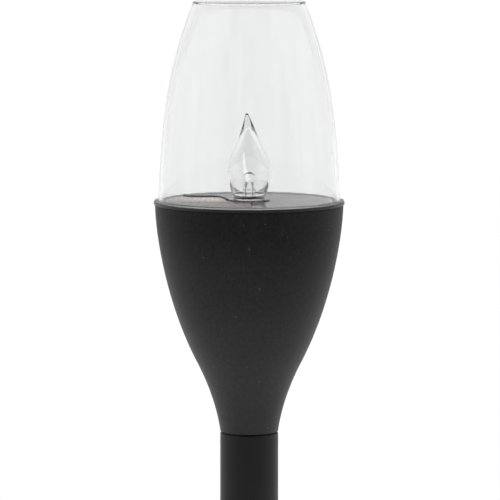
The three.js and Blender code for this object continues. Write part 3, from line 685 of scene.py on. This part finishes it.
def deck_housing():
    under, inner = DECK_FLOOR - DECK_T, SKIRT_R - SKIRT_WALL
    shell = turned("deck_shell", rounded([
        (LENS_HOLE_R, under, 0.15), (inner, under, 0.8), (inner, SKIRT_LOW, 0.2), (SKIRT_R, SKIRT_LOW, 0.35),
        (SKIRT_R, SEAL_LIP_TOP - 1.8, 0.3), (SEAL_LIP_R, SEAL_LIP_TOP - 1, 0.3),
        (SEAL_LIP_R, SEAL_LIP_TOP, 0.3), (SKIRT_R, SEAL_LIP_TOP, 0.2), (SKIRT_R, SHOULDER_LOW, 0.2),
        (SHOULDER_R, SHOULDER_LOW, 0.5), (SHOULDER_R, RIM_SEAT, 0.2), (RIM_R, RIM_SEAT, 0.3),
        (RIM_R, RIM_TOP, 0.35), (DECK_EDGE_R, RIM_TOP, 0.15), (DECK_EDGE_R, DECK_TOP, 0.15),
        (DECK_R, DECK_TOP, 0.15), (DECK_R, DECK_FLOOR, 0.2), (LENS_HOLE_R, DECK_FLOOR, 0.15)]), 192, SEAM)
    bosses = [rod("boss", 2.8, 80.3, under + 0.5, x, y) for x, y in SCREW_PLACES]
    posts = [rod("post", 2.0, 93.1, under + 0.5, x, y) for x, y in POST_PLACES]
    combine(shell, bosses + posts, "UNION")
    pilots = [rod("pilot", 1.5, 79, under - 2, x, y) for x, y in SCREW_PLACES]
    pilots += [rod("pilot", 1.1, 91, under - 0.6, x, y) for x, y in POST_PLACES]
    combine(shell, pilots + [rod("wire_way", 2.4, 95, 99.5, *WIRE_WAY)], "DIFFERENCE")
    return settle(shell, "light_module", "black_plastic", RIM_BLACK, "deck_housing")


def module_base():
    inner, floor_top = SKIRT_R - SKIRT_WALL, BASE_LOW + SKIRT_WALL
    shell = turned("base_shell", rounded([
        (0, BASE_LOW), (32, BASE_LOW, 0.6), (33.4, BASE_LOW + 0.8, 0.6), (SKIRT_R, 81, 0.6),
        (SKIRT_R, BASE_TOP, 0.35), (inner, BASE_TOP, 0.3), (inner, 81.2, 0.4), (32, BASE_LOW + 2.6, 0.6),
        (31.2, floor_top, 0.4), (0, floor_top)]), 160, SEAM)
    out_x, out_y = BAY_X_HALF + BAY_WALL, BAY_Y_HALF + BAY_WALL
    bay = rounded_plate("bay", -out_x, out_x, BAY_Y - out_y, BAY_Y + out_y, BAY_LOW, BAY_TOP + 1.2,
                        4, 0.3, SEAM)
    ears = []
    for side in (-1, 1):
        x0, x1 = sorted((side * 9.5, side * 13))
        ears.append(rod_x("ear", 2, x0, x1, HINGE_Y, HINGE_Z))
        ears.append(block("ear_web", (x0 + 0.05, HINGE_Y - 1.9, HINGE_Z), (x1 - 0.05, HINGE_Y + 1.9, 74.5),
                          0.2, SEAM))
    posts = [rod("post", 2.8, BASE_LOW + 0.5, 80, x, y) for x, y in SCREW_PLACES]
    guard = rounded_plate("guard", -8, 8, SWITCH_Y - 3.4, SWITCH_Y + 3.4, BASE_LOW - 0.8, BASE_LOW + 0.5,
                          1.5, 0.25, SEAM)
    combine(shell, [bay, *ears, *posts, guard], "UNION")
    cuts = [rounded_plate("bay_room", -BAY_X_HALF, BAY_X_HALF, BAY_Y - BAY_Y_HALF, BAY_Y + BAY_Y_HALF,
                          BAY_LOW - 1, BAY_TOP, 2.7, 0, SEAM)]
    cuts += [rod_x("pin_way", PIN_WAY_R, -14, 14, HINGE_Y, HINGE_Z, edge=0.01)]
    cuts += [rod("shank_way", 1.5, HOLE_LOW, BASE_TOP, x, y) for x, y in SCREW_PLACES]
    cuts += [rod("head_way", 2.7, HOLE_LOW, BASE_LOW + 2.2, x, y, 48) for x, y in SCREW_PLACES]
    cuts += [block("slot", (-4, SWITCH_Y - 1.2, BASE_LOW - 2), (4, SWITCH_Y + 1.2, BASE_LOW + 3), 0, SEAM)]
    cuts += [rod("lead_way", 1.4, BAY_TOP - 1, BAY_TOP + 3, side * 24, BAY_Y + 4.5, 24) for side in (-1, 1)]
    combine(shell, cuts, "DIFFERENCE")
    return settle(shell, "light_module", "black_plastic", BLACK, "module_base")


def ring(name, inner, outer, low, high, edge, sides=128):
    """Flat ring with rounded edges, its faces at heights above the seam."""
    corners = [(inner, low, edge), (outer, low, edge), (outer, high, edge), (inner, high, edge)]
    return turned(name, rounded(corners), sides, SEAM)


def seal_ring():
    return turned("seal_ring", on_circle(37.05, 94.65, 1.05, *[22.5 * k for k in range(16)]), 160, SEAM)


def screw(name, x, y, head_low, head_t, length, shank_r, head_r):
    """Pan-head screw pointing up, its cross recess underneath and a thread on its shank."""
    top = head_low + head_t + length
    pitch = 0.85
    thread, z = [], head_low + head_t + 0.8
    while z < top - 1.6:
        thread += [(shank_r * 0.8, z), (shank_r, z + pitch / 2)]
        z += pitch
    body = turned(name, [(0, head_low), (head_r * 0.55, head_low), (head_r * 0.86, head_low + head_t * 0.22),
                         (head_r, head_low + head_t * 0.6), (head_r, head_low + head_t * 0.9),
                         (head_r * 0.95, head_low + head_t), (shank_r * 0.8, head_low + head_t),
                         *thread, (shank_r * 0.8, top - 1), (0, top)], 48, SEAM)
    deep, wide = head_t * 0.6, head_r * 0.2
    slots = [block("slot", (-x_half, -y_half, head_low - 0.2), (x_half, y_half, head_low + deep), 0, SEAM)
             for x_half, y_half in ((head_r * 0.55, wide), (wide, head_r * 0.55))]
    return placed(combine(body, slots, "DIFFERENCE"), move=(x, y, 0))


def housings():
    deck_housing()
    module_base()
    gasket = ring("base_seal", SKIRT_R - 1.6, SKIRT_R - 0.2, BASE_TOP + GAP, SKIRT_LOW - GAP, 0.2)
    settle(gasket, "light_module", "rubber", RUBBER, "base_gasket")
    settle(seal_ring(), "light_module", "rubber", RUBBER, "module_seal")
    for i, (x, y) in enumerate(SCREW_PLACES):
        settle(screw(f"base_screw_{i + 1}", x, y, 74.1, 1.6, 12, 1.2, 2.4), "light_module", "steel", ZINC,
               f"housing_screw_{i + 1}")
    for i, (x, y) in enumerate(POST_PLACES):
        settle(screw(f"post_screw_{i + 1}", x, y, 89.7, 1.2, 4.6, 0.8, 1.9), "light_module", "steel", ZINC,
               f"board_screw_{i + 1}")


# ---- Light module: solar panel --------------------------------------------------------------

PANEL_R, PANEL_HOLE_R = DECK_R - GAP, 6.6
CELL_PITCH, CELL_HALF = 16.5, 7.85           # of the cell strips, across Y
FILM_R, FILM_HOLE_R = 36.2, 9.4
FILM_EDGE = [(-29, 21), (-26, 17), (-21, 15.7), (-14, 15), (-11.6, 9.5), (-10.2, 5), (-9.4, 0), (-9.4, -1.5)]


def solar_panel():
    board = ring("panel_board", PANEL_HOLE_R, PANEL_R, 98.5, 99.5, 0.1, 160)
    combine(board, [rod("wire_way", 1.8, 98, 100, *WIRE_WAY)], "DIFFERENCE")
    settle(board, "light_module", "circuit_board", PANEL_BOARD, "solar_board")
    for row in range(1, 5):
        y0, y1 = (row - 2.5) * CELL_PITCH - CELL_HALF, (row - 2.5) * CELL_PITCH + CELL_HALF
        disc = turned("disc", [(9.6, 99.8), (34.6, 99.8), (34.6, 100.1), (9.6, 100.1)], 160, SEAM)
        strip = block(f"cell_strip_{row}", (-40, y0, 99), (40, y1, 101), 0, SEAM)
        combine(strip, [disc], "INTERSECT")
        settle(strip, "light_module", "solar_cell", CELL, f"solar_cell_{row}")
    cover = ring("panel_cover", PANEL_HOLE_R, PANEL_R, 99.55, DECK_TOP, 0.15, 160)   # potted over the cells
    settle(cover, "light_module", "clear_plastic", COVER_CLEAR, "solar_cover")
    hole = on_circle(0, 0, FILM_HOLE_R, *[188 + 12 * k for k in range(8)])
    front = on_circle(0, 0, FILM_R, *[272 - 7.9 * k for k in range(17)])
    outline = smooth_line(FILM_EDGE) + hole + front
    # film on the panel's front-left; its pale part is a painted reflection
    film = extruded("film", outline, DECK_TOP + 0.01 + SEAM, DECK_TOP + 0.07 + SEAM)
    add_to(cover, film, PAINTED_REFLECTION_FILM)
    bead = wire("film_edge", [(x, y, DECK_TOP + 0.2 + SEAM) for x, y in FILM_EDGE], 0.55)
    add_to(cover, bead, DARK)


# ---- Light module: shade, flame lens and lamp -----------------------------------------------

SHADE_WALL = 1.5
# The shade's outside, as control points of a curve: (radius, height above the seam)
SHADE_SIDE = ((39.75, 100.9), (38.3, 138.8), (35.2, 160.3), (24.9, 186.1))
SHADE_TOP = 188.3
SHADE_UNDER = SHADE_TOP - SHADE_WALL         # underside of its roof
FLANGE_R, FLANGE_LOW, FLANGE_TOP = 41.3, 100.95, 101.3
FLUTES, FLUTE_DEPTH = 34, 0.02               # fine upright flutes on the inside of the shade


def shade():
    side = bezier(*SHADE_SIDE, 60)
    inner = [(r, z) for r, z in offset(side, SHADE_WALL) if 101.6 < z < SHADE_UNDER - 1.6][::-1]
    outer = [(r, z) for r, z in side if z > FLANGE_TOP + 1]
    fluted = set(inner)

    def flute(x, y, z, angle, r):
        if (r, z) not in fluted:
            return x, y, z
        fade = min(1.0, (z - 101) / 8, (SHADE_UNDER - z) / 10)
        grow = 1 + FLUTE_DEPTH * fade * math.cos(FLUTES * angle) / r
        return x * grow, y * grow, z

    piece = turned("shade_shell", rounded([
        (SHADE_SIDE[0][0] - SHADE_WALL, FLANGE_LOW, 0.3), (FLANGE_R, FLANGE_LOW, 0.2),
        (FLANGE_R, FLANGE_TOP, 0.25), (39.8, FLANGE_TOP, 0.2), *outer, (24.3, 187.9, 0.4), (0, SHADE_TOP),
        (0, SHADE_UNDER), (22.9, SHADE_UNDER, 0.3), *inner]), FLUTES * 10, SEAM, flute)
    return settle(piece, "light_module", "clear_plastic", CLEAR, "shade")


LENS_TIP, LENS_WIDE, LENS_R, LENS_WALL = 139.2, 113.6, 9.25, 0.9
LENS_THICKEN = 0.0037                        # growth of its wall above the widest part, per mm squared
LENS_LEAN = 0.9                              # mm that its tip stands to the left
LENS_BORE, LENS_LOW = 5, 95.2
FOOT_R, FOOT_LOW = 8.8, 101.5                # its flange on the deck
LAMP_R, LAMP_DOME, LEAD_X = 2.5, 111.1, 1.27


def lean(x, y, z, angle, r):
    """Moves the lens above its widest part to the left, more toward the tip."""
    rise = max(0.0, (z - LENS_WIDE) / (LENS_TIP - LENS_WIDE))
    return x - LENS_LEAN * rise * rise, y, z


def flame_lens():
    """Hollow lens whose wall thickens to a solid tip, with a fine bead round its foot."""
    bulge = bezier((7.3, 103.9), (8.2, 106.5), (LENS_R, 110), (LENS_R, LENS_WIDE), 14)
    taper = bezier((LENS_R, LENS_WIDE), (LENS_R, 120.8), (4.6, 125.8), (0.5, LENS_TIP - 0.35), 36)
    skin = bulge + taper[1:]
    hollow = [(r - LENS_THICKEN * max(0.0, z - LENS_WIDE) ** 2, z)
              for r, z in offset(skin, LENS_WALL) if z > 104.3]
    hollow = [(r, z) for r, z in hollow if r > 0.2][::-1]
    foot = rounded([
        (LENS_BORE, LENS_LOW), (6, LENS_LOW, 0.2), (6, FOOT_LOW, 0.1), (FOOT_R, FOOT_LOW, 0.1),
        (FOOT_R, FOOT_LOW + 0.25, 0.1), (8.0, 102.0, 0.4), (6.8, 102.4, 0.4), (6.7, 103.1, 0.4),
        (7.3, 103.9, 0.2)])
    piece = turned("flame", [
        (0, hollow[0][1] + 0.35), *hollow, (6.2, 103.2), (5.4, 102.4), (LENS_BORE, 101.8), *foot, *skin[1:],
        (0.25, LENS_TIP - 0.08), (0, LENS_TIP)], 144, SEAM, lean)
    round_foot = on_circle(0, 0, FOOT_R - 0.05, *range(0, 361, 6))
    add_to(piece, wire("foot_bead", [(x, y, FOOT_LOW + SEAM) for x, y in round_foot], 0.16))
    return settle(piece, "light_module", "clear_plastic", LENS_CLEAR, "flame_lens")


def lamp():
    collar = rounded([
        (0, 104.9), (2.9, 104.9, 0.15), (2.9, 105.9, 0.15), (LAMP_R, 105.9, 0.1), (LAMP_R, 108)])
    dome = on_circle(0, LAMP_DOME, LAMP_R, *[7.5 * k for k in range(13)])
    body = turned("lamp_body", collar[:-1] + dome, 64, SEAM)
    settle(body, "light_module", "lamp_epoxy", LAMP_CLEAR, "lamp")
    anvil = [(-1.6, 107), (-0.95, 107), (-0.4, 108.7), (-0.4, 109.3), (-1.6, 109.3)]
    post = [(0.9, 107.2), (1.52, 107.2), (1.52, 109.3), (0.55, 109.3), (0.6, 108.8)]
    for end, x, outline in (("cathode", -LEAD_X, anvil), ("anode", LEAD_X, post)):
        lead = rod(f"{end}_lead", 0.22, 90.6, 107.5, x)
        tab = placed(extruded("tab", outline, -0.25, 0.25, 0.05), (90, 0, 0), (0, 0, SEAM))
        settle(combine(lead, [tab], "UNION"), "light_module", "tinned_lead", TINNED, f"lamp_lead_{end}")
    clip = ring("lens_clip", LENS_HOLE_R, 9.5, 95.4, 96.3, 0.12, 64)
    settle(clip, "light_module", "steel", ZINC, "lens_retaining_ring")


# ---- Light module: board, battery, switch, wires --------------------------------------------

SEAT = 93.1                                  # height of the parts that stand on the control board
CHOKE_X = -11


def circuit():
    board = rounded_plate("main_board", -21, 21, -7, 16, 91.2, 92.8, 2, 0.08, SEAM)
    holes = [rod("hole", 0.66, 90, 94, x, 0, 16) for x in (-LEAD_X, LEAD_X)]
    holes += [rod("hole", 1.3, 90, 94, x, y, 32) for x, y in POST_PLACES]
    settle(combine(board, holes, "DIFFERENCE"), "light_module", "circuit_board", PCB, "control_board")
    chip = block("chip", (7.6, -4.5, SEAT + 0.2), (12.4, 0.5, SEAT + 1.8), 0.15, SEAM)
    legs = [block("leg", (6.6, y - 0.2, SEAT), (13.4, y + 0.2, SEAT + 0.5), 0.06, SEAM)
            for y in (-3.9, -2.63, -1.37, -0.1)]
    settle(combine(chip, legs, "UNION"), "light_module", "black_epoxy", CHIP, "driver_chip")
    coil = turned("choke_body", rounded([
        (0, -4), (1.1, -3.9, 0.3), (1.45, -3.2, 0.3), (1.45, -2.3, 0.3), (1.1, -1.7, 0.3), (1.1, 1.7, 0.3),
        (1.45, 2.3, 0.3), (1.45, 3.2, 0.3), (1.1, 3.9, 0.3), (0, 4)]), 40)
    level = SEAT + 1.6 + SEAM
    placed(coil, (90, 0, 0), (CHOKE_X, 0, level))
    path = [(-5.6, SEAT + SEAM), (-5.4, level - 0.3), (-4.4, level),
            (4.4, level), (5.4, level - 0.3), (5.6, SEAT + SEAM)]
    lead = wire("choke_lead", [(CHOKE_X, y, z) for y, z in path], 0.3)
    settle(combine(coil, [lead], "UNION"), "light_module", "component_body", DIPPED, "choke")
    capacitor = rod_x("disc_capacitor", 1.5, 12.6, 14.2, 7, SEAT + 1.6, 48, 0.5)
    settle(capacitor, "light_module", "component_body", DIPPED, "capacitor")


def battery():
    x0, x1, y, z = -23.9, 26.6, BAY_Y, 80.9
    length = x1 - x0
    body = length - 1.3                              # without the knob on its positive end
    cell = turned("battery_cell", rounded([
        (0, 0), (6.0, 0, 0.2), (6.3, 0.15, 0.2), (7.1, 0.5, 0.35), (7.1, body - 0.5, 0.35),
        (6.2, body + 0.05, 0.3), (6.0, body - 0.25, 0.2), (2.75, body - 0.25, 0.2), (2.75, length, 0.4),
        (0, length)]), 96)
    cell.data.transform(TURN_X)
    placed(cell, move=(x0, y, z + SEAM))
    settle(cell, "light_module", "battery_wrap", WRAP, "battery")
    cell.data.materials.append(ZINC)                 # bare metal at both ends
    for face in cell.data.polygons:
        middle = face.center / MM
        out = math.hypot(middle.y - y, middle.z - z - SEAM)
        if out < 5.9 and (middle.x > x1 - 1.7 or middle.x < x0 + 0.2):
            face.material_index = 1
    spring_plate = block("spring_plate", (-27.2, y - 5, z - 5), (-26.9, y + 5, z + 5), 0.1, SEAM)
    turns, per_turn = 3, 24
    coil = []
    for i in range(turns * per_turn + 1):
        part = i / (turns * per_turn)
        angle, radius = 2 * math.pi * i / per_turn, 4.2 - 1.6 * part
        coil.append((-26.95 + 2.35 * part, y + radius * math.cos(angle), z + SEAM + radius * math.sin(angle)))
    spring = wire("spring_coil", coil, 0.32, 12, 2)
    settle(combine(spring_plate, [spring], "UNION"), "light_module", "steel", ZINC, "battery_spring")
    contact = block("contact_plate", (26.9, y - 5, z - 5), (27.2, y + 5, z + 5), 0.1, SEAM)
    settle(contact, "light_module", "steel", ZINC, "battery_contact")


def wires():
    x0, y0 = WIRE_WAY
    for colour, side, material in (("red", -1, RED), ("black", 1, DARK)):
        runs = {
            "panel": [(x0 + side * 0.85, y0, 99.2), (x0 + side * 0.85, y0, 96.6),
                      (x0 + side * 1.5, 12.8, 94.6), (x0 + side * 2.6, 10.6, SEAT + 0.2)],
            "battery": [(-side * 26.1, -1.5, 86.2), (-side * 24, -1.5, 88.6), (-side * 23.7, -1.5, 93.2),
                        (-side * 20.5, -1.5, 95), (-side * 17, -1.5, SEAT + 0.4)],
            "switch": [(side * 3, SWITCH_Y, 80.8), (side * 6, 13.3, 84.5), (side * 7, SWITCH_Y, 90.4)]}
        for run, points in runs.items():
            piece = wire(f"{run}_wire_{colour}", [(x, y, z + SEAM) for x, y, z in points], 0.5)
            settle(piece, "light_module", f"{colour}_insulation", material, f"{run}_lead_{colour}")


def switch():
    body = block("switch_case", (-5.5, 10, 75.9), (5.5, 15.4, 80.4), 0.25, SEAM)
    room = block("room", (-4, 11.5, 75), (4, 13.9, 77.6), 0, SEAM)
    settle(combine(body, [room], "DIFFERENCE"), "light_module", "black_epoxy", CHIP, "switch_body")
    knob = block("slider_knob", (-2.65, 11.9, 72.2), (0.15, 13.5, 76.6), 0.25, SEAM)
    foot = block("foot", (-3.45, 11.9, 76.3), (0.95, 13.5, 77.2), 0.1, SEAM)
    combine(knob, [foot], "UNION")
    grips = [block("grip", (x - 0.12, 11.8, 72.0), (x + 0.12, 13.6, 72.45), 0, SEAM)
             for x in (-1.95, -1.25, -0.55)]
    settle(combine(knob, grips, "DIFFERENCE"), "slider", "white_plastic", WHITE, "switch_slider")


def battery_door():
    low, high, out_y = 70.0, 71.5, 9.0
    panel = rounded_plate("door_panel", -28.4, 28.4, BAY_Y - out_y, BAY_Y + out_y, low, high, 4, 0.35, SEAM)
    rim = rounded_plate("rim", -27, 27, BAY_Y - 7.5, BAY_Y + 7.5, high - 0.2, high + 1.5, 2.4, 0.15, SEAM)
    hollow = rounded_plate("hollow", -26, 26, BAY_Y - 6.5, BAY_Y + 6.5, high - 0.02, high + 2, 1.6, 0, SEAM)
    combine(rim, [hollow], "DIFFERENCE")
    knuckle = rod_x("knuckle", 2, -9.1, 9.1, HINGE_Y, HINGE_Z)
    web = block("web", (-9.05, BAY_Y + out_y - 1, low), (9.05, HINGE_Y, high), 0.1, SEAM)
    front = BAY_Y - out_y
    lip = rounded_plate("lip", -7, 7, front - 2.2, front + 2, low, high - 0.3, 1.2, 0.25, SEAM)
    combine(panel, [rim, knuckle, web, lip], "UNION")
    cuts = [rod_x("pin_way", PIN_WAY_R, -10, 10, HINGE_Y, HINGE_Z, edge=0.01)]
    cuts += [block("grip", (x, BAY_Y - 5.5, low - 0.5), (x + 0.8, BAY_Y - 1, low + 0.3), 0, SEAM)
             for x in range(-8, 8, 2)]
    combine(panel, cuts, "DIFFERENCE")
    settle(panel, "door", "black_plastic", BLACK, "battery_door")
    pin = rod_x("hinge_pin", 0.8, -12.8, 12.8, HINGE_Y, HINGE_Z)
    settle(pin, "light_module", "steel", ZINC, "door_hinge_pin")


# ---- Stage: floor, light, camera ------------------------------------------------------------

AIM = Vector((0.00035, 0, 0.5449))           # what the camera looks at
CAMERA_DISTANCE, CAMERA_ELEVATION = 1.86, math.radians(6)
LENS_MM = 307.5
FLOOR_R, FLOOR_T = 30000, 10                 # mm


def floor():
    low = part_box("ground_spike")[0][2] - 0.003
    disc = turned("floor", [(0, 0), (FLOOR_R, 0), (FLOOR_R, -FLOOR_T), (0, -FLOOR_T)], 96, low / MM)
    paper = soft_plain("studio_floor", (0.86, 0.86, 0.86), (0.88, 0.88, 0.88), 0.9, 3, 0.05)
    disc.data.materials.append(paper)


def world():
    """Bright all round and above, dimmer behind the camera, so that dark glossy pieces keep dark fronts."""
    room = bpy.data.worlds.new("studio")
    bpy.context.scene.world = room
    room.use_nodes = True
    nodes, links = room.node_tree.nodes, room.node_tree.links
    direction = nodes.new("ShaderNodeTexCoord").outputs["Generated"]
    split = nodes.new("ShaderNodeSeparateXYZ")
    links.new(direction, split.inputs[0])

    def ramp(axis, low, high, to_low, to_high):
        node = nodes.new("ShaderNodeMapRange")
        node.interpolation_type = "SMOOTHSTEP"
        set_range(node, low, high, to_low, to_high)
        links.new(split.outputs[axis], node.inputs["Value"])
        return node.outputs["Result"]

    strength = nodes.new("ShaderNodeMath")
    strength.operation = "MULTIPLY"
    links.new(ramp("Y", -0.9, -0.15, 0.1, 1.0), strength.inputs[0])     # front to back
    links.new(ramp("Z", 0.0, 1.0, 0.95, 1.5), strength.inputs[1])       # horizon to zenith
    links.new(strength.outputs["Value"], nodes["Background"].inputs["Strength"])
    nodes["Background"].inputs["Color"].default_value = (1, 1, 1, 1)


def lens_glint():
    """Narrow strip of light beside the lens, seen only as its shine on the lens."""
    light = bpy.data.lights.new("lens_strip", "AREA")
    light.shape = "RECTANGLE"
    light.size, light.size_y = 0.008, 0.04
    light.energy = 0.004
    strip = bpy.data.objects.new("lens_strip", light)
    bpy.context.scene.collection.objects.link(strip)
    strip.location = Vector((-9.0, -26.5, 121 + SEAM)) * MM
    strip.rotation_euler = Vector((0.37, 0.93, 0)).to_track_quat("-Z", "Z").to_euler()
    for hidden_from in ("visible_camera", "visible_transmission", "visible_diffuse"):
        setattr(strip, hidden_from, False)
    lens_only = bpy.data.collections.new("lit_by_lens_strip")
    lens_only.objects.link(bpy.data.objects["flame"])
    strip.light_linking.receiver_collection = lens_only


def camera():
    view = bpy.data.cameras.new("camera")
    view.sensor_width = 36
    view.lens = LENS_MM
    view.clip_start, view.clip_end = 0.05, 100
    eye = bpy.data.objects.new("camera", view)
    bpy.context.scene.collection.objects.link(eye)
    away = Vector((0, -math.cos(CAMERA_ELEVATION), math.sin(CAMERA_ELEVATION)))
    eye.location = AIM + CAMERA_DISTANCE * away
    eye.rotation_euler = (AIM - eye.location).to_track_quat("-Z", "Y").to_euler()
    bpy.context.scene.camera = eye


def stage():
    floor()
    world()
    lens_glint()
    camera()
    scene = bpy.context.scene
    scene.view_settings.view_transform = "Standard"
    scene.cycles.max_bounces = 24
    scene.cycles.transmission_bounces = 24
    scene.cycles.glossy_bounces = 8


ground_spike()
pole("lower_pole", "pole_lower")
coupler()
pole("upper_pole", "pole_upper")
cup()
housings()
solar_panel()
shade()
flame_lens()
lamp()
circuit()
battery()
wires()
switch()
battery_door()
stage()
